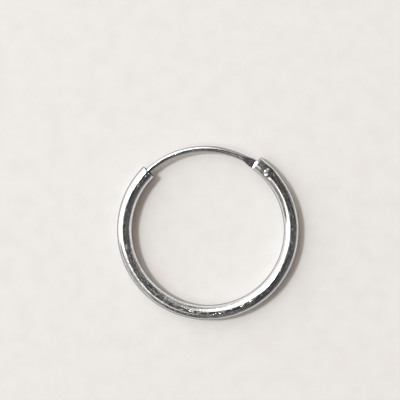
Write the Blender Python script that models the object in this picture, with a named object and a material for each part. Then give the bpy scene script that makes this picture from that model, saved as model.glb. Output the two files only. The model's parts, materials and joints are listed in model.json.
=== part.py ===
"""A hinged silver hoop earring that lies on its side.

The hoop is a round hollow tube bent to an open circle. Its one end, the mouth, is open. Its other
end, the hinge end, is filled with solder and slotted, and a rivet holds the flat end of the ear
wire in the slot. The ear wire closes the circle, and its round tip sits in the mouth.

The hoop lies in the XY plane with its axis along +Z. The origin is at the centre of the circle,
on the surface that the earring lies on. Bearings are counted from +X, counter-clockwise from above.
"""

import math

import bmesh
import bpy
from mathutils import Matrix, Vector

MM = 0.001

# Hoop tube
HOOP_OUTER_DIAMETER = 24.0 * MM
TUBE_DIAMETER = 2.0 * MM
TUBE_WALL = 0.22 * MM
MOUTH_BEARING = math.radians(134.7)
HINGE_END_BEARING = math.radians(54.5)
TUBE_EDGE_ROUNDING = 0.12 * MM
SLOT_FLOOR = 0.6 * MM

# Ear wire
WIRE_DIAMETER = 0.8 * MM
BLADE_THICKNESS = 0.35 * MM
BLADE_WIDTH = 1.2 * MM
BLADE_REACH = 0.4 * MM
BLADE_OFFSET = 0.34 * MM
TAPER_LENGTH = 1.6 * MM
EYE_DIAMETER = 1.5 * MM

# Rivet
RIVET_SETBACK = 1.85 * MM
RIVET_SHANK_DIAMETER = 0.7 * MM
RIVET_HEAD_DIAMETER = 1.15 * MM
RIVET_SEAT_DEPTH = 0.2 * MM
RIVET_HEAD_EDGE = 0.05 * MM
RIVET_BELOW_CROWN = 0.015 * MM

# Clearances
RUNNING_CLEARANCE = 0.05 * MM
RIVET_GAP = 0.03 * MM
TIP_CLEARANCE = 0.04 * MM
WIRE_RIDE = 0.26  # share of its free play by which the wire lies to the outer side of the bore
CUTTER_OVERRUN = 1.0 * MM  # how far a cutter reaches past the metal that it cuts

# Facets
TUBE_SIDES = 24
WIRE_SIDES = 16
RIVET_SIDES = 24
BEND_STEP = math.radians(4.0)
TAPER_STEPS = 6
EYE_STEPS = 6
TIP_STEPS = 4
EDGE_STEPS = 3
ROUND_POWER = 2.0
FLAT_POWER = 6.0
SHARP_ANGLE = math.radians(40.0)

# Worked out from the sizes above
TUBE_RADIUS = TUBE_DIAMETER / 2
BORE_RADIUS = TUBE_RADIUS - TUBE_WALL
WIRE_RADIUS = WIRE_DIAMETER / 2
EYE_RADIUS = EYE_DIAMETER / 2
BEND_RADIUS = HOOP_OUTER_DIAMETER / 2 - TUBE_RADIUS
TUBE_SWEEP = HINGE_END_BEARING + math.tau - MOUTH_BEARING
TUBE_LENGTH = TUBE_SWEEP * BEND_RADIUS
RIVET_BEARING = HINGE_END_BEARING - RIVET_SETBACK / BEND_RADIUS
SLOT_HEIGHT = BLADE_THICKNESS + 2 * RUNNING_CLEARANCE
SLOT_BEHIND_RIVET = EYE_RADIUS + RUNNING_CLEARANCE
FILLED_LENGTH = RIVET_SETBACK + SLOT_BEHIND_RIVET + SLOT_FLOOR


def on_circle(bearing, radius):
    """Return the point at that bearing and radius, at the height of the tube's centre line."""
    return Vector((radius * math.cos(bearing), radius * math.sin(bearing), TUBE_RADIUS))


def outward_at(bearing):
    """Return the unit vector that points away from the hoop's axis at that bearing."""
    return Vector((math.cos(bearing), math.sin(bearing), 0.0))


def ring(centre, across, half_width, half_height, sides, power=ROUND_POWER):
    """Return one closed section: a circle or ellipse, or nearly a rectangle at a high power."""
    points = []
    for index in range(sides):
        angle = math.tau * index / sides
        cosine, sine = math.cos(angle), math.sin(angle)
        x = math.copysign(abs(cosine) ** (2 / power), cosine) * half_width
        z = math.copysign(abs(sine) ** (2 / power), sine) * half_height
        points.append(centre + across * x + Vector((0.0, 0.0, z)))
    return points


def flat_ring(centre, radius, sides):
    """Return one level circle round a vertical axis."""
    points = []
    for index in range(sides):
        angle = math.tau * index / sides
        points.append(centre + Vector((math.cos(angle), math.sin(angle), 0.0)) * radius)
    return points


def skin(name, rings, origin, material):
    """Join the rings in order, close both ends and return the new object, placed at its origin."""
    mesh = bpy.data.meshes.new(name)
    shape = bmesh.new()
    loops = [[shape.verts.new(point - origin) for point in points] for points in rings]
    for near, far in zip(loops, loops[1:]):
        count = len(near)
        for index in range(count):
            following = (index + 1) % count
            shape.faces.new((near[index], near[following], far[following], far[index]))
    shape.faces.new(loops[0])
    shape.faces.new(loops[-1])
    bmesh.ops.recalc_face_normals(shape, faces=shape.faces)
    shape.to_mesh(mesh)
    shape.free()
    if material:
        mesh.materials.append(material)
    mesh.shade_smooth()
    mesh.set_sharp_from_angle(angle=SHARP_ANGLE)
    piece = bpy.data.objects.new(name, mesh)
    piece.location = origin
    bpy.context.scene.collection.objects.link(piece)
    return piece


def silver(name, colour, roughness):
    """Return a silver finish as a metallic Principled material."""
    material = bpy.data.materials.new(name)
    material.use_nodes = True
    shader = material.node_tree.nodes["Principled BSDF"]
    shader.inputs["Base Color"].default_value = (*colour, 1.0)
    shader.inputs["Metallic"].default_value = 1.0
    shader.inputs["Roughness"].default_value = roughness
    return material


def cut(piece, cutter):
    """Cut the cutter out of the piece with an exact Boolean, and hide the cutter."""
    cutter.hide_render = True
    cutter.display_type = "WIRE"
    modifier = piece.modifiers.new(cutter.name, "BOOLEAN")
    modifier.operation = "DIFFERENCE"
    modifier.solver = "EXACT"
    modifier.object = cutter


def round_cutter(name, centre, radius, low, high):
    """Return an upright cylinder for cutting, between two heights."""
    rings = []
    for height in (low, high):
        rings.append(flat_ring(Vector((centre.x, centre.y, height)), radius, RIVET_SIDES))
    return skin(name, rings, Vector((0.0, 0.0, 0.0)), None)


def box_cutter(name, frame, low, high):
    """Return a box for cutting, between two corners given in the frame."""
    corners = []
    for height in (low.z, high.z):
        level = []
        for x, y in ((low.x, low.y), (high.x, low.y), (high.x, high.y), (low.x, high.y)):
            level.append(frame @ Vector((x, y, height)))
        corners.append(level)
    return skin(name, corners, Vector((0.0, 0.0, 0.0)), None)


def edge_rounding():
    """Return how far in and how much narrower each step of a rounded tube edge is."""
    steps = []
    for index in range(EDGE_STEPS + 1):
        angle = math.pi / 2 * index / EDGE_STEPS
        along = TUBE_EDGE_ROUNDING * (1 - math.sin(angle))
        narrower = TUBE_EDGE_ROUNDING * (1 - math.cos(angle))
        steps.append((along, narrower))
    return steps


def tube_sections():
    """Return distance from the mouth and radius of each section along the tube's whole skin.

    The skin starts on the solder deep in the bore, comes out at the mouth, turns over the wall
    and runs along the outside to the hinge end.
    """
    bore_length = TUBE_LENGTH - FILLED_LENGTH
    bore_count = math.ceil(bore_length / (BEND_RADIUS * BEND_STEP))
    sections = [(bore_length * (1 - i / bore_count), BORE_RADIUS) for i in range(bore_count + 1)]
    rounding = edge_rounding()
    for along, narrower in reversed(rounding):
        sections.append((along, TUBE_RADIUS - narrower))
    plain_length = TUBE_LENGTH - 2 * TUBE_EDGE_ROUNDING
    plain_count = math.ceil(plain_length / (BEND_RADIUS * BEND_STEP))
    for i in range(1, plain_count):
        sections.append((TUBE_EDGE_ROUNDING + plain_length * i / plain_count, TUBE_RADIUS))
    for along, narrower in rounding:
        sections.append((TUBE_LENGTH - along, TUBE_RADIUS - narrower))
    return sections


def make_hoop_tube(pivot, material):
    """Make the bent tube, then cut the hinge slot, the rivet's hole and its two seats."""
    rings = []
    for distance, radius in tube_sections():
        bearing = MOUTH_BEARING + distance / BEND_RADIUS
        centre = on_circle(bearing, BEND_RADIUS)
        rings.append(ring(centre, outward_at(bearing), radius, radius, TUBE_SIDES))
    tube = skin("hoop_tube", rings, Vector((0.0, 0.0, 0.0)), material)

    frame = Matrix.Translation(pivot) @ Matrix.Rotation(RIVET_BEARING + math.pi / 2, 4, "Z")
    slot_side = TUBE_RADIUS + CUTTER_OVERRUN
    low = Vector((-SLOT_BEHIND_RIVET, -slot_side, -SLOT_HEIGHT / 2))
    high = Vector((RIVET_SETBACK + CUTTER_OVERRUN, slot_side, SLOT_HEIGHT / 2))
    cut(tube, box_cutter("slot_cutter", frame, low, high))

    below = -CUTTER_OVERRUN
    above = TUBE_DIAMETER + CUTTER_OVERRUN
    hole_radius = RIVET_SHANK_DIAMETER / 2 + RIVET_GAP
    cut(tube, round_cutter("rivet_hole_cutter", pivot, hole_radius, below, above))

    seat_radius = RIVET_HEAD_DIAMETER / 2 + RIVET_GAP
    upper_seat = TUBE_DIAMETER - RIVET_SEAT_DEPTH
    cut(tube, round_cutter("upper_seat_cutter", pivot, seat_radius, upper_seat, above))
    cut(tube, round_cutter("lower_seat_cutter", pivot, seat_radius, below, RIVET_SEAT_DEPTH))
    return tube


def bow_centre(start, end):
    """Return the centre of the arc of the hoop's own bend radius that joins the two points."""
    middle = (start + end) / 2
    half = (end - start) / 2
    rise = math.sqrt(BEND_RADIUS**2 - half.length_squared)
    inward = Vector((0.0, 0.0, 1.0)).cross(half).normalized()
    return middle + inward * rise


def tip_depth(pivot, mouth, lift):
    """Return how deep the round tip sits in the mouth.

    The stiff wire turns about the rivet, so its tip leaves the bore on a slant. It sits as deep as
    it can and still pass the outer lip of the mouth with the tip clearance.
    """
    arm = (mouth - pivot).normalized()
    travel = Vector((arm.y, -arm.x, 0.0))
    outward = outward_at(MOUTH_BEARING)
    sideways = travel.dot(outward)
    along = math.sqrt(1 - sideways**2)
    room = (BORE_RADIUS - lift) * along - WIRE_RADIUS - TIP_CLEARANCE
    return WIRE_RADIUS + room / sideways


def blend(start, end, share):
    """Return the value between start and end, eased at both ends."""
    eased = share * share * (3 - 2 * share)
    return start + (end - start) * eased


def eye_half_width(distance):
    """Return half the blade's width at that distance from the rivet, round the eye and past it."""
    round_part = math.sqrt(max(EYE_RADIUS**2 - distance**2, 0.0))
    if distance < 0:
        return round_part
    return max(round_part, BLADE_WIDTH / 2)


def blade_rings(pivot, neck):
    """Return the sections of the flat blade, from the far side of the eye to the neck."""
    reach = neck - pivot
    along = reach.normalized()
    across = Vector((along.y, -along.x, 0.0))
    distances = []
    for index in range(1, EYE_STEPS + 1):
        distances.append(-EYE_RADIUS * math.cos(math.pi / 2 * index / EYE_STEPS))
    width_share = min(BLADE_WIDTH / EYE_DIAMETER, 1.0)
    side = EYE_RADIUS * math.sqrt(1 - width_share**2)
    distances += [side / 2, side, (side + reach.length) / 2, reach.length]
    rings = []
    for distance in distances:
        centre = pivot + along * distance
        half_width = eye_half_width(distance)
        rings.append(ring(centre, across, half_width, BLADE_THICKNESS / 2, WIRE_SIDES, FLAT_POWER))
    return rings


def make_ear_wire(pivot, material):
    """Make the ear wire: eye and blade, the taper to the round wire, the bow and its round tip."""
    mouth_lift = WIRE_RIDE * (BORE_RADIUS - WIRE_RADIUS)
    mouth = on_circle(MOUTH_BEARING, BEND_RADIUS + mouth_lift)
    neck_bearing = HINGE_END_BEARING + BLADE_REACH / BEND_RADIUS
    neck = on_circle(neck_bearing, BEND_RADIUS - BLADE_OFFSET)
    centre = bow_centre(neck, mouth)
    start = math.atan2(neck.y - centre.y, neck.x - centre.x)
    end = math.atan2(mouth.y - centre.y, mouth.x - centre.x)
    taper_end = start + TAPER_LENGTH / BEND_RADIUS
    ball = end + (tip_depth(pivot, mouth, mouth_lift) - WIRE_RADIUS) / BEND_RADIUS

    def bow_ring(bearing, half_width, half_height, power):
        outward = outward_at(bearing)
        return ring(centre + outward * BEND_RADIUS, outward, half_width, half_height, WIRE_SIDES, power)

    rings = blade_rings(pivot, neck)
    for index in range(1, TAPER_STEPS + 1):
        share = index / TAPER_STEPS
        half_width = blend(BLADE_WIDTH / 2, WIRE_RADIUS, share)
        half_height = blend(BLADE_THICKNESS / 2, WIRE_RADIUS, share)
        power = blend(FLAT_POWER, ROUND_POWER, share)
        rings.append(bow_ring(start + (taper_end - start) * share, half_width, half_height, power))
    bow_count = math.ceil((ball - taper_end) / BEND_STEP)
    for index in range(1, bow_count + 1):
        bearing = taper_end + (ball - taper_end) * index / bow_count
        rings.append(bow_ring(bearing, WIRE_RADIUS, WIRE_RADIUS, ROUND_POWER))
    for index in range(1, TIP_STEPS):
        angle = math.pi / 2 * index / TIP_STEPS
        radius = WIRE_RADIUS * math.cos(angle)
        bearing = ball + WIRE_RADIUS * math.sin(angle) / BEND_RADIUS
        rings.append(bow_ring(bearing, radius, radius, ROUND_POWER))

    wire = skin("ear_wire", rings, pivot, material)
    hole_radius = RIVET_SHANK_DIAMETER / 2 + RUNNING_CLEARANCE
    cut(wire, round_cutter("eye_cutter", pivot, hole_radius, 0.0, TUBE_DIAMETER))
    return wire


def make_hinge_pin(pivot, material):
    """Make the rivet: a round shank with a low domed head on its seat at each end."""
    shank = RIVET_SHANK_DIAMETER / 2
    head = RIVET_HEAD_DIAMETER / 2
    underside = TUBE_RADIUS - RIVET_SEAT_DEPTH + RIVET_GAP
    edge = underside + RIVET_HEAD_EDGE
    top = TUBE_RADIUS - RIVET_BELOW_CROWN
    upper = [(underside, shank), (underside, head), (edge, head)]
    for share in (0.75, 0.5, 0.25):
        upper.append((top - (top - edge) * share**2, head * share))
    lower = [(-height, radius) for height, radius in reversed(upper)]
    rings = []
    for height, radius in lower + upper:
        rings.append(flat_ring(pivot + Vector((0.0, 0.0, height)), radius, RIVET_SIDES))
    return skin("hinge_pin", rings, pivot, material)


def clear_scene():
    """Remove every object that the scene starts with."""
    for item in list(bpy.data.objects):
        bpy.data.objects.remove(item, do_unlink=True)


def main():
    """Build the earring."""
    clear_scene()
    pivot = on_circle(RIVET_BEARING, BEND_RADIUS)
    tube_finish = silver("tube_silver", (0.80, 0.79, 0.77), 0.12)
    wire_finish = silver("wire_silver", (0.78, 0.77, 0.76), 0.10)
    rivet_finish = silver("rivet_silver", (0.82, 0.81, 0.79), 0.18)
    make_hoop_tube(pivot, tube_finish)
    make_ear_wire(pivot, wire_finish)
    make_hinge_pin(pivot, rivet_finish)


main()
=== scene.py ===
"""The looks of a hinged silver hoop earring that lies on a pale stone surface.

The earring is three pieces: the bent tube, the ear wire that closes it, and the rivet that hinges
the wire. Each piece is a class that models itself and dresses itself in its silver. The studio class
makes the floor, the soft light round it and the camera almost straight above.
"""

import json
import logging
import math
from collections.abc import Sequence
from dataclasses import dataclass
from enum import Enum
from typing import Any

import bmesh
import bpy
from mathutils import Matrix, Vector


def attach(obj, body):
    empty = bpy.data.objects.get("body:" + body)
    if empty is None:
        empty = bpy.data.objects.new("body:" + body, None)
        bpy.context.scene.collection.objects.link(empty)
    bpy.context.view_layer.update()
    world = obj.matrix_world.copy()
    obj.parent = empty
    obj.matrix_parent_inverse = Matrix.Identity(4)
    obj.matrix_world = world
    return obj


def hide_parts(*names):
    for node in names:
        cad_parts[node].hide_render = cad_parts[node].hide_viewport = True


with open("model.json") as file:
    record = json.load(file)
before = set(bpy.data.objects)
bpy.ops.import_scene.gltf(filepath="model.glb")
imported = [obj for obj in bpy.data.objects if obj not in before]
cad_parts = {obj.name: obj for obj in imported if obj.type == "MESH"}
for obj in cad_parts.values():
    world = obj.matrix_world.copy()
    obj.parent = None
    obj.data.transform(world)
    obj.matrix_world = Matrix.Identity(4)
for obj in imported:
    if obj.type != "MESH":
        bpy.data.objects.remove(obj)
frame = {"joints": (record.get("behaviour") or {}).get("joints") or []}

Colour = tuple[float, float, float, float]
LOG = logging.getLogger("hoop_earring")
MM = 0.001
SLIVER = 0.002 * MM
FULL_TURN = math.tau
UP = Vector((0.0, 0.0, 1.0))


class Lay(Enum):
    """The way in which the polishing lines and scratches of a piece run."""

    ALONG_THE_BEND = "along the bend"
    ROUND_THE_RIVET = "round the rivet"


@dataclass(frozen=True)
class HoopSizes:
    """The sizes that the three pieces share, in metres and radians.

    Bearings are counted from +X, counter-clockwise from above.
    """

    outer_diameter: float = 24.0 * MM
    tube_diameter: float = 2.0 * MM
    tube_wall: float = 0.22 * MM
    mouth_bearing: float = math.radians(134.7)
    hinge_end_bearing: float = math.radians(54.5)
    wire_diameter: float = 0.8 * MM
    blade_thickness: float = 0.35 * MM
    blade_width: float = 1.2 * MM
    blade_reach: float = 0.4 * MM
    blade_offset: float = 0.34 * MM
    eye_diameter: float = 1.5 * MM
    shank_diameter: float = 0.7 * MM
    head_diameter: float = 1.15 * MM
    seat_depth: float = 0.2 * MM
    head_edge: float = 0.012 * MM
    head_below_crown: float = 0.015 * MM
    running_clearance: float = 0.05 * MM
    rivet_gap: float = 0.03 * MM

    @property
    def tube_radius(self) -> float:
        """Radius of the tube, which is also the height of its centre line."""
        return self.tube_diameter / 2

    @property
    def bend_radius(self) -> float:
        """Radius of the circle that the tube's centre line follows."""
        return self.outer_diameter / 2 - self.tube_radius

    @property
    def bore_radius(self) -> float:
        """Radius of the hollow inside the tube."""
        return self.tube_radius - self.tube_wall

    @property
    def wire_radius(self) -> float:
        """Radius of the round ear wire."""
        return self.wire_diameter / 2

    @property
    def sweep(self) -> float:
        """Angle that the tube covers, from the hinge end round to the mouth."""
        return self.hinge_end_bearing + FULL_TURN - self.mouth_bearing

    def on_circle(self, bearing: float, radius: float) -> Vector:
        """Return the point at that bearing and radius, at the height of the tube's centre line."""
        return Vector((radius * math.cos(bearing), radius * math.sin(bearing), self.tube_radius))


@dataclass(frozen=True)
class Ease:
    """A smooth change from one result at a low value to another at a high one."""

    low: float
    high: float
    start: float = 0.0
    end: float = 1.0


@dataclass(frozen=True)
class Grain:
    """A noise, how fine it is, and which of its values show."""

    scale: float
    detail: float
    shown: Ease


class NodeSheet:
    """A thin helper that writes shader nodes in a readable way."""

    def __init__(self, tree: bpy.types.NodeTree) -> None:
        """Start with an emptied node tree of a material or a world."""
        self.tree = tree
        tree.nodes.clear()

    def add(self, kind: str, sources: dict[int | str, Any] | None = None, **settings: Any) -> bpy.types.Node:
        """Add a node.

        Args:
            kind: The node's type name without its common prefix.
            sources: What goes into its inputs, as sockets or plain values.
            **settings: Properties to set on the node.

        Returns:
            The new node.
        """
        node = self.tree.nodes.new("ShaderNode" + kind)
        for name, value in settings.items():
            setattr(node, name, value)
        for name, source in (sources or {}).items():
            self.feed(node.inputs[name], source)
        return node

    def feed(self, target: bpy.types.NodeSocket, source: Any) -> None:
        """Link a socket into the target, or set the target to a constant.

        Args:
            target: The input socket.
            source: An output socket or a plain value.
        """
        if isinstance(source, bpy.types.NodeSocket):
            self.tree.links.new(source, target)
        else:
            target.default_value = source

    def math(self, operation: str, *terms: Any) -> bpy.types.NodeSocket:
        """Return the result of an operation on sockets or plain numbers."""
        return self.add("Math", dict(enumerate(terms)), operation=operation).outputs[0]

    def plus(self, first: Any, second: Any) -> bpy.types.NodeSocket:
        """Return the sum of two terms."""
        return self.math("ADD", first, second)

    def minus(self, first: Any, second: Any) -> bpy.types.NodeSocket:
        """Return what is left of the first term without the second."""
        return self.math("SUBTRACT", first, second)

    def times(self, first: Any, second: Any) -> bpy.types.NodeSocket:
        """Return the product of two terms."""
        return self.math("MULTIPLY", first, second)

    def scaled(self, value: Any, share: float, offset: float) -> bpy.types.NodeSocket:
        """Return the value times a share, plus an offset."""
        return self.math("MULTIPLY_ADD", value, share, offset)

    def blend(self, x: Any, x_share: float, y: Any, y_share: float) -> bpy.types.NodeSocket:
        """Return the sum of two terms, each times its share."""
        return self.plus(self.times(x, x_share), self.times(y, y_share))

    def reach(self, x: Any, y: Any) -> bpy.types.NodeSocket:
        """Return the length of a level step."""
        return self.math("SQRT", self.plus(self.math("POWER", x, 2.0), self.math("POWER", y, 2.0)))

    def place(self) -> bpy.types.NodeSocket:
        """Return the position on the object, in metres."""
        return self.add("TexCoord").outputs["Object"]

    def split(self, vector: bpy.types.NodeSocket) -> Sequence[bpy.types.NodeSocket]:
        """Return the three parts of a vector."""
        return self.add("SeparateXYZ", {0: vector}).outputs

    def join(self, *parts: Any) -> bpy.types.NodeSocket:
        """Return a vector made of three parts."""
        return self.add("CombineXYZ", dict(enumerate(parts))).outputs[0]

    def ease(self, value: Any, change: Ease) -> bpy.types.NodeSocket:
        """Ease a value from one range to another.

        Args:
            value: The socket or number to ease.
            change: The two ranges.

        Returns:
            The eased value.
        """
        sources = {
            "Value": value, "From Min": change.low, "From Max": change.high,
            "To Min": change.start, "To Max": change.end,
        }
        return self.add("MapRange", sources, interpolation_type="SMOOTHSTEP").outputs[0]

    def noise(self, vector: Any, scale: float, detail: float) -> bpy.types.NodeSocket:
        """Return a noise between 0 and 1 of that scale, with that many finer layers."""
        return self.add("TexNoise", {"Vector": vector, "Scale": scale, "Detail": detail}).outputs["Fac"]

    def grain(self, vector: Any, grain: Grain) -> bpy.types.NodeSocket:
        """Return the values of a noise that show."""
        return self.ease(self.noise(vector, grain.scale, grain.detail), grain.shown)

    def mix(self, share: Any, first: Any, second: Any) -> bpy.types.NodeSocket:
        """Return a mix of two colours with that share of the second one."""
        # The node has a set of inputs for each kind of value. Its colours are number 6 and 7.
        return self.add("Mix", {0: share, 6: first, 7: second}, data_type="RGBA").outputs[2]

    def bump(self, height: Any, depth: float, below: Any = None, sunk: bool = False) -> bpy.types.NodeSocket:
        """Turn a height into a bumped normal.

        Args:
            height: The height, from 0 to 1.
            depth: Depth of the relief, in metres.
            below: The normal that is bumped, if there is one.
            sunk: True where a greater height lies deeper.

        Returns:
            The normal.
        """
        node = self.add("Bump", {"Height": height, "Distance": depth}, invert=sunk)
        if below is not None:
            self.feed(node.inputs["Normal"], below)
        return node.outputs[0]

    def show(self, kind: str, surface: bpy.types.NodeSocket) -> None:
        """Lead a shader to the sheet's output of that kind."""
        self.add(kind, {"Surface": surface})


@dataclass(frozen=True)
class Scratches:
    """One set of fine scratches, in degrees and millimetres."""

    angle: float
    length: float
    width: float


@dataclass(frozen=True)
class SilverFinish:
    """Polished silver with drawing lines, scratches, scuffed patches, a breath of tarnish and painted shade
    on rims and round the rivet.

    Noises are counted per millimetre. The pairs of streaks, lines and nicks say how fine a noise is
    along the piece and round it, those of ripples and dents how fine it is and its finer layers.
    """

    name: str
    sizes: HoopSizes
    lay: Lay
    centre: Vector
    colour: Colour = (0.92, 0.92, 0.925, 1.0)
    tarnish: Colour = (0.58, 0.55, 0.54, 1.0)
    stains: Grain = Grain(0.9, 4.0, Ease(0.50, 0.78, 0.0, 0.35))
    streaks: tuple[float, float] = (0.25, 7.0)
    streak_detail: float = 4.0
    dull_streaks: Ease = Ease(0.45, 0.66, 0.0, 0.40)
    hazy_streaks: Ease = Ease(0.60, 0.40, 0.0, 0.8)
    # Painted shade: a dark colour mixed in where the surface turns away from view, drawing a dark line along
    # the rims.
    painted_rim_shade: Colour = (0.13, 0.125, 0.145, 1.0)
    painted_rim_shade_shown: Ease = Ease(0.42, 0.68)
    roughness: float = 0.07
    hazy_roughness: float = 0.11
    scuffed_roughness: float = 0.22
    filed_roughness: float = 0.24
    filed_place: Vector | None = None
    filed_shown: Ease = Ease(1.5 * MM, 2.5 * MM, 1.0, 0.0)
    patches: Grain = Grain(0.8, 3.0, Ease(0.40, 0.68))
    patch_share: float = 0.60
    speckles: Grain = Grain(7.0, 2.0, Ease(0.60, 0.70))
    scratches: tuple[Scratches, ...] = (
        Scratches(3.0, 1.3, 0.032),
        Scratches(-8.0, 0.8, 0.04),
        Scratches(17.0, 0.7, 0.035),
        Scratches(-66.0, 0.5, 0.035),
    )
    scratch_detail: float = 1.0
    scratch_spacing: float = 7.3
    scratch_limit: float = 0.715
    scratch_gain: float = -0.07
    scratch_shown: Ease = Ease(0.0, 0.09)
    scratch_depth: float = 0.0065 * MM
    ripples: tuple[float, float] = (1.3, 2.0)
    ripple_depth: float = 0.007 * MM
    dent_depth: float = 0.009 * MM
    dents: tuple[float, float] = (5.5, 2.0)
    nicks: tuple[float, float] = (2.4, 5.5)
    nick_detail: float = 2.0
    nick_shown: Ease = Ease(0.60, 0.69)
    nick_depth: float = 0.024 * MM
    lines: tuple[float, float] = (0.35, 14.0)
    line_detail: float = 3.0
    line_depth: float = 0.005 * MM
    worn_place: float = 0.0
    worn_shown: Ease = Ease(6.6, 11.0, 1.0, 0.30)
    # Painted shade: a dark ring over the narrow gap round the rivet and the wall of its seat.
    painted_gap_shade: Colour = (0.10, 0.09, 0.08, 1.0)
    painted_gap_shade_reach: tuple[float, float] = (0.0, 0.0)
    painted_gap_shade_edge: float = 0.02 * MM
    seam_bearing: float = math.radians(95.0)

    def build(self) -> bpy.types.Material:
        """Make the material.

        Returns:
            The finished material.
        """
        material = bpy.data.materials.new(self.name)
        material.use_nodes = True
        sheet = NodeSheet(material.node_tree)
        along, girth, solid = self._surface(sheet)
        patches = self._wear_places(sheet, solid, along)
        scratches = self._scratches(sheet, along, girth, patches)
        wear = sheet.math("MAXIMUM", scratches, sheet.times(sheet.grain(solid, self.speckles), patches))
        streaks = sheet.noise(self._drawn_out(sheet, along, girth, self.streaks), 1.0, self.streak_detail)

        shader = sheet.add("BsdfPrincipled", {"Metallic": 1.0})
        dull = sheet.plus(sheet.grain(solid, self.stains), sheet.ease(streaks, self.dull_streaks))
        # Painted shade: the silver's colour is darkened along the rims, where its surface turns away from
        # view.
        painted_rim_shade = sheet.ease(sheet.add("LayerWeight").outputs["Facing"], self.painted_rim_shade_shown)
        clean = sheet.mix(painted_rim_shade, sheet.mix(dull, self.colour, self.tarnish), self.painted_rim_shade)
        # Painted shade darkens the narrow gap round the rivet.
        sheet.feed(shader.inputs["Base Color"], sheet.mix(self._painted_gap_shade_places(sheet), clean, self.painted_gap_shade))
        hazy = sheet.math("MAXIMUM", patches, sheet.ease(streaks, self.hazy_streaks))
        sheet.feed(shader.inputs["Roughness"], self._roughness(sheet, hazy, wear))
        sheet.feed(shader.inputs["Normal"], self._relief(sheet, along, girth, solid, patches, wear))
        sheet.show("OutputMaterial", shader.outputs[0])
        return material

    def _surface(self, sheet: NodeSheet) -> tuple[Any, Any, Any]:
        """Lay the surface out flat, in millimetres along the piece and as an angle round it.

        Args:
            sheet: The material's node sheet.

        Returns:
            The place along the piece, the place round it, and a solid position in millimetres.
        """
        x, y, z = sheet.split(sheet.place())
        if self.lay is Lay.ROUND_THE_RIVET:
            x = sheet.scaled(x, 1 / MM, -self.centre.x / MM)
            y = sheet.scaled(y, 1 / MM, -self.centre.y / MM)
            turn = sheet.math("ARCTAN2", y, x)
            return turn, sheet.reach(x, y), sheet.join(x, y, sheet.times(z, 1 / MM))
        cosine, sine = math.cos(self.seam_bearing), math.sin(self.seam_bearing)
        ahead = sheet.blend(x, -cosine, y, -sine)
        aside = sheet.blend(x, sine, y, -cosine)
        bend = self.sizes.bend_radius / MM
        along = sheet.times(sheet.math("ARCTAN2", aside, ahead), bend)
        out = sheet.scaled(sheet.reach(x, y), 1 / MM, -bend)
        up = sheet.scaled(z, 1 / MM, -self.sizes.tube_radius / MM)
        return along, sheet.math("ARCTAN2", out, up), sheet.join(along, out, up)

    def _drawn_out(self, sheet: NodeSheet, along: Any, girth: Any, shape: tuple[float, float]) -> Any:
        """Return a position that draws a noise out along the piece and across it."""
        return sheet.join(sheet.times(along, shape[0]), sheet.times(girth, shape[1]), 0.0)

    def _away(self, sheet: NodeSheet, point: Vector) -> Any:
        """Return how far each place is from the upright line through a point, in metres."""
        x, y, _ = sheet.split(sheet.place())
        return sheet.reach(sheet.minus(x, point.x), sheet.minus(y, point.y))

    def _roughness(self, sheet: NodeSheet, hazy: Any, wear: Any) -> Any:
        """Say how rough the silver is.

        Args:
            sheet: The material's node sheet.
            hazy: Where the polish is hazy, from 0 to 1.
            wear: Where the metal is scratched, from 0 to 1.

        Returns:
            The roughness at each place.
        """
        haze = sheet.scaled(hazy, self.hazy_roughness - self.roughness, self.roughness)
        rough = sheet.math("MULTIPLY_ADD", wear, self.scuffed_roughness - self.roughness, haze)
        if self.filed_place is None:
            return rough
        filed = sheet.ease(self._away(sheet, self.filed_place), self.filed_shown)
        return sheet.math("MAXIMUM", rough, sheet.times(filed, self.filed_roughness))

    def _painted_gap_shade_places(self, sheet: NodeSheet) -> Any:
        """Say where painted shade darkens the narrow gap round the rivet.

        Args:
            sheet: The material's node sheet.

        Returns:
            The share of painted shade at each place, from 0 to 1.
        """
        inner, outer = self.painted_gap_shade_reach
        if outer == 0.0:
            return 0.0
        away = self._away(sheet, self.centre)
        fading = Ease(outer - self.painted_gap_shade_edge, outer + self.painted_gap_shade_edge, 1.0, 0.0)
        return sheet.times(sheet.math("GREATER_THAN", away, inner), sheet.ease(away, fading))

    def _wear_places(self, sheet: NodeSheet, solid: Any, along: Any) -> Any:
        """Say where the silver is scuffed: in patches, and most where the hoop hangs lowest.

        Args:
            sheet: The material's node sheet.
            solid: Position for noises that have no direction.
            along: Place along the piece.

        Returns:
            The share of wear at each place, from 0 to 1.
        """
        patchy = sheet.grain(solid, self.patches)
        if self.lay is Lay.ROUND_THE_RIVET:
            return patchy
        away = sheet.math("ABSOLUTE", sheet.minus(along, self.worn_place))
        worn = sheet.scaled(patchy, self.patch_share, 1 - self.patch_share)
        return sheet.times(worn, sheet.ease(away, self.worn_shown))

    def _scratches(self, sheet: NodeSheet, along: Any, girth: Any, patches: Any) -> Any:
        """Draw fine scratches in several directions, denser on the scuffed patches.

        Args:
            sheet: The material's node sheet.
            along: Place along the piece.
            girth: Place round the piece.
            patches: Where the metal is scuffed, from 0 to 1.

        Returns:
            The share of scratch at each place, from 0 to 1.
        """
        result: Any = 0.0
        limit = sheet.scaled(patches, self.scratch_gain, self.scratch_limit)
        for number, scratches in enumerate(self.scratches):
            angle = math.radians(scratches.angle)
            run = sheet.blend(along, math.cos(angle), girth, math.sin(angle))
            cross = sheet.blend(along, -math.sin(angle), girth, math.cos(angle))
            run = sheet.times(run, 1 / scratches.length)
            cross = sheet.times(cross, 1 / scratches.width)
            place = sheet.join(run, cross, self.scratch_spacing * number)
            streak = sheet.noise(place, 1.0, self.scratch_detail)
            shown = sheet.ease(sheet.minus(streak, limit), self.scratch_shown)
            result = sheet.math("MAXIMUM", result, shown)
        return result

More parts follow.
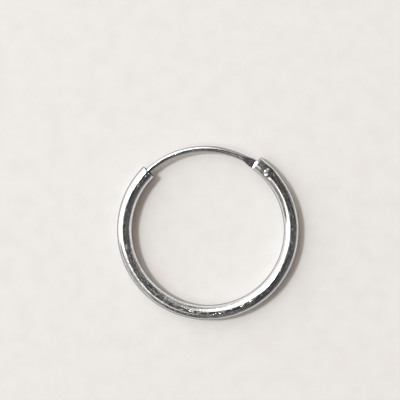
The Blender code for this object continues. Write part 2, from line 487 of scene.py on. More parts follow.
    def _relief(
        self, sheet: NodeSheet, along: Any, girth: Any, solid: Any, patches: Any, wear: Any
    ) -> bpy.types.NodeSocket:
        """Turn drawing lines, soft ripples, small dents and scratches into a bumped normal.

        Args:
            sheet: The material's node sheet.
            along: Place along the piece.
            girth: Place round the piece.
            solid: Position for noises that have no direction.
            patches: Where the metal is scuffed, from 0 to 1.
            wear: Where the metal is scratched, from 0 to 1.

        Returns:
            The normal.
        """
        lines = sheet.noise(self._drawn_out(sheet, along, girth, self.lines), 1.0, self.line_detail)
        normal = sheet.bump(lines, self.line_depth)
        normal = sheet.bump(sheet.noise(solid, *self.ripples), self.ripple_depth, normal)
        nicks = sheet.noise(self._drawn_out(sheet, along, girth, self.nicks), 1.0, self.nick_detail)
        nicks = sheet.times(sheet.ease(nicks, self.nick_shown), -self.nick_depth / self.dent_depth)
        dents = sheet.times(sheet.plus(sheet.noise(solid, *self.dents), nicks), patches)
        normal = sheet.bump(dents, self.dent_depth, normal)
        return sheet.bump(wear, self.scratch_depth, normal, sunk=True)


@dataclass(frozen=True)
class StoneFinish:
    """A plain pale stone with the faintest mottling."""

    name: str = "pale_stone"
    pale: Colour = (0.82, 0.80, 0.79, 1.0)
    warm: Colour = (0.79, 0.765, 0.748, 1.0)
    clouds: Grain = Grain(420.0, 4.0, Ease(0.30, 0.80))
    roughness: float = 0.75
    sheen: float = 0.25
    pores: tuple[float, float] = (2200.0, 3.0)
    pore_depth: float = 0.01 * MM

    def build(self) -> bpy.types.Material:
        """Make the material.

        Returns:
            The finished material.
        """
        material = bpy.data.materials.new(self.name)
        material.use_nodes = True
        sheet = NodeSheet(material.node_tree)
        place = sheet.place()
        colour = sheet.mix(sheet.grain(place, self.clouds), self.pale, self.warm)
        relief = sheet.bump(sheet.noise(place, *self.pores), self.pore_depth)
        shader = sheet.add("BsdfPrincipled", {
            "Base Color": colour, "Normal": relief,
            "Roughness": self.roughness, "Specular IOR Level": self.sheen,
        })
        sheet.show("OutputMaterial", shader.outputs[0])
        return material


class RingWork:
    """Shapes a closed skin by hand, ring by ring, from a circle that is extruded and spun."""

    def __init__(self, name: str, centre: Vector, radius: float, sides: int, turn: Sequence[float]) -> None:
        """Add the first ring and open it for editing.

        Args:
            name: Name of the piece.
            centre: Centre of the first ring.
            radius: Radius of the first ring.
            sides: How many edges the ring has.
            turn: Rotation of the ring about X, Y and Z.
        """
        bpy.ops.object.select_all(action="DESELECT")
        bpy.ops.mesh.primitive_circle_add(
            vertices=sides, radius=radius, fill_type="NOTHING", location=centre, rotation=turn
        )
        self.piece = bpy.context.object
        self.piece.name = name
        self.piece.data.name = name
        bpy.ops.object.transform_apply(location=True, rotation=True, scale=True)
        self.centre = centre.copy()
        bpy.ops.object.mode_set(mode="EDIT")
        bpy.ops.mesh.select_all(action="SELECT")

    def step(self, move: Vector, across: Sequence[float] | float = 1.0, turn: Matrix | None = None) -> None:
        """Extrude the last ring, move it and scale it about its own centre.

        Args:
            move: How far the new ring is from the last one.
            across: Scale of the new ring against the last one, in all or in three directions.
            turn: Frame whose axes the three scales follow.
        """
        bpy.ops.mesh.extrude_region_move(TRANSFORM_OT_translate={"value": move})
        self.centre += move
        value = (across, across, across) if isinstance(across, float) else tuple(across)
        if turn is None:
            bpy.ops.transform.resize(value=value, center_override=self.centre)
        else:
            bpy.ops.transform.resize(
                value=value, center_override=self.centre, orient_type="LOCAL", orient_matrix=turn,
                orient_matrix_type="LOCAL",
            )

    def spin(self, angle: float, steps: int, about: Vector) -> None:
        """Spin the last ring about the upright axis through a point, counter-clockwise from above."""
        bpy.ops.mesh.spin(steps=steps, angle=-angle, center=about, axis=(0.0, 0.0, 1.0))
        self.centre = about + Matrix.Rotation(angle, 3, "Z") @ (self.centre - about)

    def close(self) -> bpy.types.Object:
        """Fill both open ends, turn the faces outwards and leave the finished piece.

        Returns:
            The piece.
        """
        bpy.ops.mesh.select_all(action="SELECT")
        bpy.ops.mesh.fill_holes(sides=0)
        bpy.ops.mesh.select_all(action="SELECT")
        bpy.ops.mesh.normals_make_consistent(inside=False)
        bpy.ops.object.mode_set(mode="OBJECT")
        return self.piece


def pick(piece: bpy.types.Object) -> None:
    """Select one piece alone, in object mode.

    Args:
        piece: The piece.
    """
    bpy.ops.object.select_all(action="DESELECT")
    piece.select_set(True)
    bpy.context.view_layer.objects.active = piece


def cut_away(piece: bpy.types.Object, cutter: bpy.types.Object) -> None:
    """Cut one mesh out of another and remove the cutter.

    Args:
        piece: The piece that is cut.
        cutter: The mesh that is taken out of it.
    """
    pick(piece)
    modifier = piece.modifiers.new("cut", "BOOLEAN")
    modifier.operation = "DIFFERENCE"
    modifier.solver = "EXACT"
    modifier.object = cutter
    bpy.ops.object.modifier_apply(modifier=modifier.name)
    bpy.data.objects.remove(cutter, do_unlink=True)


def drill(piece: bpy.types.Object, place: Vector, radius: float, depth: float, sides: int) -> None:
    """Drill an upright round hole or seat into a piece.

    Args:
        piece: The piece.
        place: Middle of the drill.
        radius: Radius of the drill.
        depth: Height of the drill.
        sides: How many edges the hole has.
    """
    bpy.ops.object.select_all(action="DESELECT")
    bpy.ops.mesh.primitive_cylinder_add(vertices=sides, radius=radius, depth=depth, location=place)
    cut_away(piece, bpy.context.object)


def trim(piece: bpy.types.Object) -> None:
    """Merge the slivers that cutting leaves and split the faces with many corners.

    Args:
        piece: The piece that has been cut.
    """
    pick(piece)
    bpy.ops.object.mode_set(mode="EDIT")
    bpy.ops.mesh.select_mode(type="VERT")
    bpy.ops.mesh.select_all(action="SELECT")
    bpy.ops.mesh.remove_doubles(threshold=SLIVER)
    bpy.ops.mesh.delete_loose()
    bpy.ops.mesh.select_mode(type="FACE")
    bpy.ops.mesh.select_all(action="DESELECT")
    bpy.ops.mesh.select_face_by_sides(number=4, type="GREATER", extend=False)
    bpy.ops.mesh.quads_convert_to_tris(quad_method="BEAUTY", ngon_method="BEAUTY")
    bpy.ops.mesh.select_mode(type="VERT")
    bpy.ops.object.mode_set(mode="OBJECT")


def smooth(piece: bpy.types.Object, degrees: float) -> None:
    """Shade a piece smooth but for the edges that turn by more than that angle."""
    pick(piece)
    bpy.ops.object.shade_smooth_by_angle(angle=math.radians(degrees))


def dress(
    piece: bpy.types.Object, finish: SilverFinish, node: str, body: str
) -> bpy.types.Object:
    """Put the finish on a piece and let it stand for its CAD node.

    Args:
        piece: The modelled piece.
        finish: Its finish.
        node: The node that it replaces.
        body: The body that it rides on.

    Returns:
        The dressed piece.
    """
    piece.data.materials.clear()
    piece.data.materials.append(finish.build())
    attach(piece, body)
    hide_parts(node)
    return piece


@dataclass
class HoopTube:
    """The bent silver tube with its open mouth and its slotted, riveted hinge end."""

    sizes: HoopSizes
    pivot: Vector
    sides: int = 72
    edge_rounding: float = 0.06 * MM
    edge_steps: int = 4
    fine_length: float = 3.4 * MM
    fine_step: float = 0.1 * MM
    bend_step: float = math.radians(1.25)
    bore_step: float = math.radians(2.5)
    filled_length: float = 3.25 * MM
    slot_behind_rivet: float = 0.8 * MM
    cutter_overrun: float = 1.0 * MM
    drill_sides: int = 64
    seat_sides: int = 96
    press_depth: float = 0.10 * MM
    press_core: float = 0.4 * MM
    press_from: float = 0.9
    press_reach: float = 0.8 * MM
    # How far the painted shade round the rivet reaches past the gap.
    painted_gap_shade_overrun: float = 0.01 * MM
    sharp_degrees: float = 32.0

    def build(self) -> bpy.types.Object:
        """Model the tube and dress it."""
        return dress(self.model(), self.finish(), "hoop_tube", "hoop")

    def finish(self) -> SilverFinish:
        """Describe the tube's silver, filed at the hinge end and worn where the hoop hangs lowest.

        Returns:
            The finish.
        """
        sizes = self.sizes
        head = sizes.head_diameter / 2
        return SilverFinish(
            "tube_silver", sizes, Lay.ALONG_THE_BEND, self.pivot, worn_place=-7.5,
            # Painted shade darkens a ring over the gap round the rivet and the wall of its seat.
            painted_gap_shade_reach=(head, head + sizes.rivet_gap + self.painted_gap_shade_overrun),
            filed_place=sizes.on_circle(sizes.hinge_end_bearing, sizes.bend_radius),
        )

    def _round_over(self, work: RingWork, ahead: Vector, outwards: bool) -> None:
        """Shape the rounded rim at an end of the tube.

        Args:
            work: The tube in the making.
            ahead: Unit vector along the tube in the direction of work.
            outwards: True where the rim grows to the full radius, False where it shrinks from it.
        """
        radius = self.sizes.tube_radius
        turns = [math.pi / 2 * i / self.edge_steps for i in range(self.edge_steps + 1)]
        rim = [(1 - math.cos(t), radius - self.edge_rounding * (1 - math.sin(t))) for t in turns]
        if not outwards:
            rim = [(1 - along, size) for along, size in reversed(rim)]
        for (from_along, from_size), (along, size) in zip(rim, rim[1:]):
            work.step(ahead * (along - from_along) * self.edge_rounding, size / from_size)

    def model(self) -> bpy.types.Object:
        """Spin the outer wall, turn over the rim and spin the bore back, then cut the hinge.

        Returns:
            The tube's mesh object.
        """
        sizes = self.sizes
        centre = sizes.on_circle(sizes.hinge_end_bearing, sizes.bend_radius)
        work = RingWork("silver_hoop_tube", centre, sizes.tube_radius - self.edge_rounding, self.sides,
                        (math.pi / 2, 0.0, sizes.hinge_end_bearing))
        ahead = Vector((math.sin(sizes.hinge_end_bearing), -math.cos(sizes.hinge_end_bearing), 0.0))
        self._round_over(work, ahead, outwards=True)
        hub = UP * sizes.tube_radius
        rim = self.edge_rounding / sizes.bend_radius
        fine = self.fine_length / sizes.bend_radius
        work.spin(-fine, round(self.fine_length / self.fine_step), hub)
        rest = sizes.sweep - fine - 2 * rim
        work.spin(-rest, math.ceil(rest / self.bend_step), hub)
        back = Vector((math.sin(sizes.mouth_bearing), -math.cos(sizes.mouth_bearing), 0.0))
        self._round_over(work, back, outwards=False)
        work.step(Vector((0.0, 0.0, 0.0)), sizes.bore_radius / (sizes.tube_radius - self.edge_rounding))
        bore = sizes.sweep - self.filled_length / sizes.bend_radius
        work.spin(bore, math.ceil(bore / self.bore_step), hub)
        tube = work.close()
        self._press_in(tube)
        self._cut_hinge(tube)
        trim(tube)
        smooth(tube, self.sharp_degrees)
        return tube

    def _press_in(self, tube: bpy.types.Object) -> None:
        """Press the wall in a little round the rivet, as hammering its heads does.

        Args:
            tube: The tube's mesh object.
        """
        for side in (1.0, -1.0):
            bpy.ops.object.mode_set(mode="EDIT")
            bpy.ops.mesh.select_mode(type="VERT")
            bpy.ops.mesh.select_all(action="DESELECT")
            shape = bmesh.from_edit_mesh(tube.data)
            for corner in shape.verts:
                away = corner.co - self.pivot
                outer = away.z * side > self.sizes.bore_radius * self.press_from
                corner.select_set(outer and away.to_2d().length < self.press_core)
            shape.select_flush_mode()
            bmesh.update_edit_mesh(tube.data)
            bpy.ops.transform.translate(
                value=(0.0, 0.0, -side * self.press_depth), use_proportional_edit=True,
                proportional_edit_falloff="SMOOTH", proportional_size=self.press_reach,
                use_proportional_connected=True,
            )
            bpy.ops.object.mode_set(mode="OBJECT")

    def _cut_hinge(self, tube: bpy.types.Object) -> None:
        """Saw the slot for the blade, drill the rivet's hole and face its two seats.

        Args:
            tube: The tube's mesh object.
        """
        sizes = self.sizes
        bearing = math.atan2(self.pivot.y, self.pivot.x)
        setback = (sizes.hinge_end_bearing - bearing) * sizes.bend_radius
        low, high = -self.slot_behind_rivet, setback + self.cutter_overrun
        middle = self.pivot + Vector((-math.sin(bearing), math.cos(bearing), 0.0)) * (low + high) / 2
        bpy.ops.object.select_all(action="DESELECT")
        bpy.ops.mesh.primitive_cube_add(size=1.0, location=middle, rotation=(0.0, 0.0, bearing + math.pi / 2))
        saw = bpy.context.object
        saw.scale = (high - low, 2 * (sizes.tube_radius + self.cutter_overrun),
                     sizes.blade_thickness + 2 * sizes.running_clearance)
        cut_away(tube, saw)
        through = 2 * (sizes.tube_diameter + self.cutter_overrun)
        drill(tube, self.pivot, sizes.shank_diameter / 2 + sizes.rivet_gap, through, self.drill_sides)
        seat = sizes.tube_radius - sizes.seat_depth
        seat_radius = sizes.head_diameter / 2 + sizes.rivet_gap
        for side in (1.0, -1.0):
            place = self.pivot + UP * side * (seat + self.cutter_overrun)
            drill(tube, place, seat_radius, 2 * self.cutter_overrun, self.seat_sides)


@dataclass
class EarWire:
    """The thin ear wire: a flat blade with an eye, a round bow and a round tip."""

    sizes: HoopSizes
    pivot: Vector
    sides: int = 48
    corner_segments: int = 11
    taper_length: float = 1.6 * MM
    taper_cuts: int = 14
    taper_smoothness: float = 0.9
    tip_depth: float = 0.46 * MM
    neck_drop: float = 0.12 * MM
    bend_length: float = 0.24 * MM
    bend_edge: float = 0.015 * MM
    ride: float = 0.26
    bow_step: float = math.radians(1.25)
    tip_steps: int = 8
    corner_share: float = 0.42
    eye_steps: int = 12
    eye_end: float = math.pi * 0.93
    drill_sides: int = 64
    sharp_degrees: float = 40.0

    def build(self) -> bpy.types.Object:
        """Model the wire and dress it."""
        return dress(self.model(), self.finish(), "ear_wire", "ear_wire")

    def finish(self) -> SilverFinish:
        """Describe the drawn wire's silver, which is smoother than the tube's.

        Returns:
            The finish.
        """
        return SilverFinish(
            "wire_silver", self.sizes, Lay.ALONG_THE_BEND, self.pivot, seam_bearing=math.radians(270.0),
            # The wire's rims get a lighter painted shade that reaches further in than the tube's.
            painted_rim_shade=(0.34, 0.32, 0.35, 1.0), painted_rim_shade_shown=Ease(0.20, 0.48), tarnish=(0.76, 0.74, 0.73, 1.0),
            dent_depth=0.006 * MM, nick_depth=0.0, scratch_depth=0.002 * MM, line_depth=0.002 * MM,
            ripple_depth=0.004 * MM,
        )

    def _bow(self) -> tuple[Vector, float, float]:
        """Work out the arc that the wire follows.

        Returns:
            The arc's centre, its bearing at the blade's neck and its bearing at the mouth.
        """
        sizes = self.sizes
        lift = self.ride * (sizes.bore_radius - sizes.wire_radius)
        mouth = sizes.on_circle(sizes.mouth_bearing, sizes.bend_radius + lift)
        neck = self._neck()
        half = (mouth - neck) / 2
        rise = math.sqrt(sizes.bend_radius**2 - half.length_squared)
        centre = (mouth + neck) / 2 + UP.cross(half).normalized() * rise
        start = math.atan2(neck.y - centre.y, neck.x - centre.x)
        end = math.atan2(mouth.y - centre.y, mouth.x - centre.x)
        return centre, start, end

    def _neck(self) -> Vector:
        """Work out where the flat blade starts to turn into round wire.

        Returns:
            The point.
        """
        sizes = self.sizes
        bearing = sizes.hinge_end_bearing + sizes.blade_reach / sizes.bend_radius
        return sizes.on_circle(bearing, sizes.bend_radius - sizes.blade_offset)

    def _height_of_blade(self, distance: float) -> float:
        """Return how far the blade is bent down at a distance from its neck, below zero."""
        share = (self.sizes.blade_reach - distance) / self.bend_length
        return -self.neck_drop * min(max(share, 0.0), 1.0)

    def model(self) -> bpy.types.Object:
        """Model the blade and the bow, bridge the taper between them and drill the eye.

        Returns:
            The wire's mesh object.
        """
        blade = self._blade()
        bow = self._bow_and_tip()
        bpy.ops.object.select_all(action="DESELECT")
        bow.select_set(True)
        blade.select_set(True)
        bpy.context.view_layer.objects.active = blade
        bpy.ops.object.join()
        bpy.ops.object.mode_set(mode="EDIT")
        bpy.ops.mesh.select_all(action="DESELECT")
        self._select_open_ends(blade)
        bpy.ops.mesh.bridge_edge_loops(
            type="SINGLE", number_cuts=self.taper_cuts, interpolation="SURFACE",
            smoothness=self.taper_smoothness,
        )
        bpy.ops.mesh.select_all(action="SELECT")
        bpy.ops.mesh.normals_make_consistent(inside=False)
        bpy.ops.object.mode_set(mode="OBJECT")
        eye_hole = self.sizes.shank_diameter / 2 + self.sizes.running_clearance
        drill(blade, self.pivot, eye_hole, self.sizes.tube_diameter, self.drill_sides)
        trim(blade)
        smooth(blade, self.sharp_degrees)
        return blade

    def _select_open_ends(self, piece: bpy.types.Object) -> None:
        """Select the edges that have only one face, in edit mode.

        Args:
            piece: The piece.
        """
        bpy.ops.mesh.select_mode(type="EDGE")
        shape = bmesh.from_edit_mesh(piece.data)
        for edge in shape.edges:
            edge.select_set(edge.is_boundary)
        bmesh.update_edit_mesh(piece.data)

    def _blade(self) -> bpy.types.Object:
        """Model the flat blade from the neck to the far side of the eye.

        Returns:
            The blade, open at the neck.
        """
        sizes = self.sizes
        neck = self._neck()
        reach = self.pivot - neck
        ahead = reach.normalized()
        root = neck.copy()
        heading = math.atan2(ahead.y, ahead.x)
        bpy.ops.object.select_all(action="DESELECT")
        neck.z += self._height_of_blade(0.0)
        upright = (math.pi / 2, 0.0, heading + math.pi / 2)
        bpy.ops.mesh.primitive_plane_add(size=1.0, location=neck, rotation=upright)
        blade = bpy.context.object
        blade.name = "silver_ear_wire"
        blade.data.name = "silver_ear_wire"
        blade.scale = (sizes.blade_width, sizes.blade_thickness, 1.0)
        bpy.ops.object.transform_apply(location=True, rotation=True, scale=True)
        bpy.ops.object.mode_set(mode="EDIT")
        bpy.ops.mesh.select_all(action="SELECT")
        bpy.ops.mesh.bevel(
            offset=self.corner_share * sizes.blade_thickness, segments=self.corner_segments, affect="VERTICES"
        )
        bpy.ops.mesh.delete(type="ONLY_FACE")
        bpy.ops.mesh.select_all(action="SELECT")
        turn = Matrix.Rotation(heading, 3, "Z")
        centre = neck.copy()
        width = sizes.blade_width
        for distance, new_width in self._blade_outline(reach.length):
            place = root + ahead * distance + UP * self._height_of_blade(distance)
            move = place - centre
            bpy.ops.mesh.extrude_region_move(TRANSFORM_OT_translate={"value": move})
            centre += move
            bpy.ops.transform.resize(
                value=(1.0, new_width / width, 1.0), center_override=centre, orient_type="LOCAL",
                orient_matrix=turn, orient_matrix_type="LOCAL",
            )
            width = new_width
        bpy.ops.mesh.edge_face_add()
        bpy.ops.object.mode_set(mode="OBJECT")
        return blade

    def _blade_outline(self, length: float) -> list[tuple[float, float]]:
        """Return distance from the neck and width of each section of the blade.

        Args:
            length: Distance from the neck to the rivet's axis.

        Returns:
            The sections, from the neck to the far side of the eye.
        """
        sizes = self.sizes
        eye = sizes.eye_diameter / 2
        side = math.sqrt(eye**2 - (sizes.blade_width / 2) ** 2)
        low, high = sizes.blade_reach - self.bend_length, sizes.blade_reach
        edge = self.bend_edge
        bends = (low - edge, low, low + edge, high - edge, high, high + edge)
        sections = [(bend, sizes.blade_width) for bend in bends]
        sections.append((length - side, sizes.blade_width))
        first = math.atan2(sizes.blade_width / 2, side)
        for index in range(1, self.eye_steps + 1):
            turn = first + (self.eye_end - first) * index / self.eye_steps
            sections.append((length - eye * math.cos(turn), 2 * eye * math.sin(turn)))
        return sections

    def _bow_and_tip(self) -> bpy.types.Object:
        """Spin the round bow from the end of the taper and round its tip.

        Returns:
            The bow, open at the taper.
        """
        sizes = self.sizes
        centre, start, end = self._bow()
        taper_end = start + self.taper_length / sizes.bend_radius
        ball = end + (self.tip_depth - sizes.wire_radius) / sizes.bend_radius
        first = centre + Vector((math.cos(taper_end), math.sin(taper_end), 0.0)) * sizes.bend_radius
        work = RingWork("ear_wire_bow", first, sizes.wire_radius, self.sides, (math.pi / 2, 0.0, taper_end))
        work.spin(ball - taper_end, math.ceil((ball - taper_end) / self.bow_step), centre)
        ahead = Vector((-math.sin(ball), math.cos(ball), 0.0))
        turns = [math.pi / 2 * i / self.tip_steps for i in range(self.tip_steps)]
        for before, now in zip(turns, turns[1:]):
            move = ahead * sizes.wire_radius * (math.sin(now) - math.sin(before))
            work.step(move, math.cos(now) / math.cos(before))
        bpy.ops.mesh.edge_face_add()
        bpy.ops.object.mode_set(mode="OBJECT")
        return work.piece


@dataclass
class HingeRivet:
    """The rivet through both cheeks of the tube and the eye of the ear wire."""

    sizes: HoopSizes
    pivot: Vector
    sides: int = 64
    dome_steps: int = 10
    innermost_share: float = 0.08
    lean_bearing: float = math.radians(-38.0)
    lean_reach: float = 0.05 * MM
    dome_power: float = 1.35
    sharp_degrees: float = 40.0

    def build(self) -> bpy.types.Object:
        """Model the rivet and dress it."""
        return dress(self.model(), self.finish(), "hinge_pin", "hoop")

    def finish(self) -> SilverFinish:
        """Describe the rivet's silver, which is uneven from the hammer.

        Returns:
            The finish.
        """
        return SilverFinish(
            "rivet_silver", self.sizes, Lay.ROUND_THE_RIVET, self.pivot, roughness=0.11, hazy_roughness=0.16,
            dent_depth=0.045 * MM, dents=(1.6, 0.0), nick_depth=0.0, line_depth=0.0015 * MM,
            scratch_depth=0.002 * MM,
        )

    def model(self) -> bpy.types.Object:
        """Walk up the rivet's outline from the lower dome to the upper one.

        Returns:
            The rivet's mesh object.
        """
        sizes = self.sizes
        shank, head = sizes.shank_diameter / 2, sizes.head_diameter / 2
        underside = sizes.tube_radius - sizes.seat_depth + sizes.rivet_gap
        edge = underside + sizes.head_edge
        top = sizes.tube_radius - sizes.head_below_crown
        leaning = Vector((math.cos(self.lean_bearing), math.sin(self.lean_bearing), 0.0)) * self.lean_reach
        upper = [(underside, shank, 0.0), (underside, head, 0.0), (edge, head, 0.0)]
        for index in range(1, self.dome_steps + 1):
            share = 1 - (1 - self.innermost_share) * index / self.dome_steps
            upper.append((edge + (top - edge) * (1 - share**self.dome_power), head * share, 1 - share))
        outline = [(-height, radius, lean) for height, radius, lean in reversed(upper)] + upper
        height, radius, lean = outline[0]
        start = self.pivot + leaning * lean + UP * height
        work = RingWork("silver_hinge_rivet", start, radius, self.sides, (0.0, 0.0, 0.0))
        for new_height, new_radius, new_lean in outline[1:]:
            move = leaning * (new_lean - lean) + UP * (new_height - height)
            work.step(move, new_radius / radius)
            height, radius, lean = new_height, new_radius, new_lean
        rivet = work.close()
        smooth(rivet, self.sharp_degrees)
        return rivet


@dataclass(frozen=True)
class WindowLight:
    """The bright window with its curtain and its rail.

    Angles are in degrees: turns are counted from the middle of the window, heights from the level.
    """

    strength: float = 1.8
    curtain: Ease = Ease(-92.0, -80.0, 0.0, 0.20)
    bright: Ease = Ease(-76.0, -54.0, 0.0, 0.80)
    far_edge: float = 45.0
    far_edge_slant: float = 0.0115
    far_edge_shown: Ease = Ease(-6.0, 6.0, 1.0, 0.0)
    top_rise: Ease = Ease(-55.0, 10.0, 12.0, 0.0)
    top: Ease = Ease(50.0, 63.0, 1.0, 0.0)
    sill_height: Ease = Ease(-70.0, 0.0, 36.0, -5.0)
    sill: Ease = Ease(-7.0, 7.0, 0.2, 1.0)
    rail_near: Ease = Ease(56.0, 66.0)
    rail_far: Ease = Ease(94.0, 116.0, 1.0, 0.0)
    rail_height: float = 53.0
    rail_width: Ease = Ease(2.0, 8.5, 1.0, 0.0)

    def brightness(self, sheet: NodeSheet, turn: Any, height: Any) -> Any:
        """Describe how bright the window is.

        Args:
            sheet: The world's node sheet.
            turn: Angle from the middle of the window.
            height: Angle above the level.

        Returns:
            The brightness in each direction.
        """
        rising = sheet.plus(sheet.ease(turn, self.curtain), sheet.ease(turn, self.bright))
        square = sheet.math("POWER", sheet.math("MAXIMUM", height, 0.0), 2.0)
        far_edge = sheet.scaled(square, self.far_edge_slant, self.far_edge)
        falling = sheet.ease(sheet.minus(turn, far_edge), self.far_edge_shown)
        top = sheet.ease(sheet.minus(height, sheet.ease(turn, self.top_rise)), self.top)
        sill = sheet.ease(sheet.minus(height, sheet.ease(turn, self.sill_height)), self.sill)
        window = sheet.times(sheet.times(rising, falling), sheet.times(top, sill))
        rail = sheet.times(sheet.ease(turn, self.rail_near), sheet.ease(turn, self.rail_far))
        off_rail = sheet.math("ABSOLUTE", sheet.minus(height, self.rail_height))
        rail = sheet.times(rail, sheet.ease(off_rail, self.rail_width))
        return sheet.times(sheet.math("MAXIMUM", window, rail), self.strength)


@dataclass(frozen=True)
class RoomLight:
    """The dim room: its ceiling, its two walls and the darker part overhead.

    Angles are counted in the same way as for the window.
    """

    far_side: Ease = Ease(0.0, 0.75, 0.06, 0.24)
    low_part: Ease = Ease(2.0, 28.0, 1.0, 0.0)
    ceiling: float = 0.085
    north_wall: tuple[Ease, Ease] = (Ease(-112.0, -100.0), Ease(-88.0, -76.0, 1.0, 0.0))
    south_wall: tuple[Ease, Ease] = (Ease(48.0, 60.0), Ease(84.0, 100.0, 1.0, 0.0))
    wall_height: Ease = Ease(55.0, 75.0, 0.17, 0.0)
    overhead: Ease = Ease(68.0, 80.0, 1.0, 0.62)
    uneven: Grain = Grain(2.6, 2.0, Ease(0.38, 0.66, 0.55, 1.5))

    def brightness(self, sheet: NodeSheet, place: Any, turn: Any, height: Any) -> Any:
        """Describe how bright the dim room and its walls are.

        Args:
            sheet: The world's node sheet.
            place: Direction from the earring.
            turn: Angle from the middle of the window.
            height: Angle above the level.

        Returns:
            The brightness in each direction.
        """
        far_side = sheet.ease(sheet.split(place)[0], self.far_side)
        ceiling = sheet.math("MULTIPLY_ADD", sheet.ease(height, self.low_part), far_side, self.ceiling)
        north, south = (
            sheet.times(sheet.ease(turn, near), sheet.ease(turn, far))
            for near, far in (self.north_wall, self.south_wall)
        )
        walls = sheet.times(sheet.plus(north, south), sheet.ease(height, self.wall_height))
        shade = sheet.times(sheet.ease(height, self.overhead), sheet.grain(place, self.uneven))
        return sheet.times(sheet.plus(ceiling, walls), shade)


@dataclass(frozen=True)
class Lamp:
    """A round soft lamp that looks at the earring."""

    name: str
    bearing: float
    height: float
    distance: float
    size: float
    power: float
    colour: tuple[float, float, float]
    seen_in_silver: bool = True

    def hang(self, lean: Matrix) -> bpy.types.Object:
        """Hang the lamp.

        Args:
            lean: The rotation that leans the light.

        Returns:
            The lamp.
        """
        data = bpy.data.lights.new(self.name, "AREA")
        data.shape = "DISK"
        data.size = self.size
        data.energy = self.power
        data.color = self.colour
        lamp = bpy.data.objects.new(self.name, data)
        level = Vector((math.cos(self.bearing), math.sin(self.bearing), 0.0)) * math.cos(self.height)
        towards = lean @ (level + UP * math.sin(self.height))
        lamp.location = towards * self.distance
        lamp.rotation_euler = towards.to_track_quat("Z", "Y").to_euler()
        lamp.visible_glossy = self.seen_in_silver
        bpy.context.scene.collection.objects.link(lamp)
        return lamp


WINDOW_LAMP = Lamp(
    "soft_lamp", math.radians(163.0), math.radians(56.0), 1.0, size=0.15, power=4.9, colour=(0.95, 0.98, 1.0)
)
FILL_LAMP = Lamp(
    "fill_lamp", math.radians(-20.0), math.radians(40.0), 1.2, size=1.2, power=2.3, colour=(1.0, 0.77, 0.46),
    seen_in_silver=False,
)


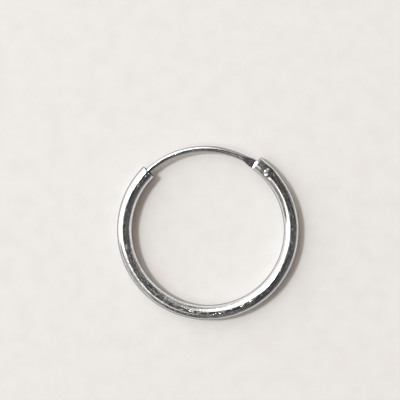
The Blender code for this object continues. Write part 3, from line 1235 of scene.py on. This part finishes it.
@dataclass
class Studio:
    """The pale floor, the soft light round it and the camera almost straight above.

    The pixel values are places in the 400 pixel frame of the picture. The camera and the light lean
    together a little towards the ear wire, which shows the open mouth of the tube.
    """

    sizes: HoopSizes
    frame_px: float = 400.0
    hoop_width_px: float = 182.0
    hoop_centre_px: tuple[float, float] = (207.9, 231.0)
    camera_distance: float = 0.10
    camera_lean: tuple[float, float] = (math.radians(-6.4), math.radians(1.2))
    sensor_width: float = 36.0
    camera_reach: tuple[float, float] = (0.01, 10.0)
    floor_side: float = 3.0
    window_bearing: float = math.radians(150.0)
    window: WindowLight = WindowLight()
    room: RoomLight = RoomLight()
    light_colour: Colour = (1.0, 0.985, 0.96, 1.0)
    backdrop: Colour = (0.80, 0.79, 0.77, 1.0)
    lamps: tuple[Lamp, ...] = (WINDOW_LAMP, FILL_LAMP)

    def _lean(self) -> Matrix:
        """Return the rotation that leans the camera and the light."""
        about_x, about_y = self.camera_lean
        return Matrix.Rotation(about_y, 3, "Y") @ Matrix.Rotation(about_x, 3, "X")

    def build_floor(self) -> bpy.types.Object:
        """Make the floor at the height that the earring lies on.

        Returns:
            The floor.
        """
        bpy.ops.object.select_all(action="DESELECT")
        bpy.ops.mesh.primitive_plane_add(size=self.floor_side, location=(0.0, 0.0, 0.0))
        floor = bpy.context.object
        floor.name = "pale_floor"
        floor.data.materials.append(StoneFinish().build())
        return floor

    def build_camera(self) -> bpy.types.Object:
        """Place the camera so that the hoop fills the same pixels as in the picture.

        Returns:
            The camera.
        """
        per_pixel = self.sizes.outer_diameter / self.hoop_width_px
        aside = (self.hoop_centre_px[0] - self.frame_px / 2) * per_pixel
        down = (self.hoop_centre_px[1] - self.frame_px / 2) * per_pixel
        data = bpy.data.cameras.new("camera_above")
        data.sensor_width = self.sensor_width
        data.lens = self.sensor_width * self.camera_distance / (self.frame_px * per_pixel)
        data.clip_start, data.clip_end = self.camera_reach
        camera = bpy.data.objects.new("camera_above", data)
        lean = self._lean()
        camera.rotation_euler = lean.to_euler()
        camera.location = UP * self.sizes.tube_radius + lean @ Vector((-aside, down, self.camera_distance))
        bpy.context.scene.collection.objects.link(camera)
        bpy.context.scene.camera = camera
        return camera

    def _reflected_light(self, sheet: NodeSheet) -> bpy.types.NodeSocket:
        """Describe the brightness that the silver sees in each direction.

        Args:
            sheet: The world's node sheet.

        Returns:
            The brightness of window and room together.
        """
        leaning = {"Vector": sheet.add("TexCoord").outputs["Generated"], "Rotation": self._lean().to_euler()}
        place = sheet.add("VectorRotate", leaning, rotation_type="EULER_XYZ", invert=True).outputs[0]
        x, y, z = sheet.split(place)
        cosine, sine = math.cos(self.window_bearing), math.sin(self.window_bearing)
        ahead = sheet.blend(x, cosine, y, sine)
        aside = sheet.blend(x, -sine, y, cosine)
        turn = sheet.math("DEGREES", sheet.math("ARCTAN2", aside, ahead))
        height = sheet.math("DEGREES", sheet.math("ARCSINE", z))
        window = self.window.brightness(sheet, turn, height)
        return sheet.plus(window, self.room.brightness(sheet, place, turn, height))

    def build_light(self) -> bpy.types.World:
        """Light the scene with one wide soft window on the left and a dim room on the right.

        Returns:
            The world.
        """
        world = bpy.data.worlds.new("soft_studio")
        bpy.context.scene.world = world
        world.use_nodes = True
        sheet = NodeSheet(world.node_tree)
        lit = sheet.add("Background", {"Color": self.light_colour, "Strength": self._reflected_light(sheet)})
        plain = sheet.add("Background", {"Color": self.backdrop})
        seen = sheet.add("LightPath").outputs["Is Camera Ray"]
        chosen = sheet.add("MixShader", {0: seen, 1: lit.outputs[0], 2: plain.outputs[0]})
        sheet.show("OutputWorld", chosen.outputs[0])
        bpy.context.scene.view_settings.view_transform = "Standard"
        bpy.context.scene.view_settings.look = "None"
        return world

    def build(self) -> None:
        """Make the floor, the light, the two lamps and the camera."""
        self.build_floor()
        self.build_light()
        for lamp in self.lamps:
            lamp.hang(self._lean())
        self.build_camera()


def main() -> None:
    """Build the studio and the earring's three pieces in order."""
    logging.basicConfig(level=logging.INFO, format="%(name)s: %(message)s")
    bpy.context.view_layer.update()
    sizes = HoopSizes()
    pivot = Vector(frame["joints"][0]["pos_m"])
    Studio(sizes).build()
    LOG.info("studio ready, rivet at %s", tuple(round(part / MM, 3) for part in pivot))
    for maker in (HoopTube(sizes, pivot), EarWire(sizes, pivot), HingeRivet(sizes, pivot)):
        piece = maker.build()
        LOG.info("%s has %d faces", piece.name, len(piece.data.polygons))


if __name__ == "__main__":
    main()
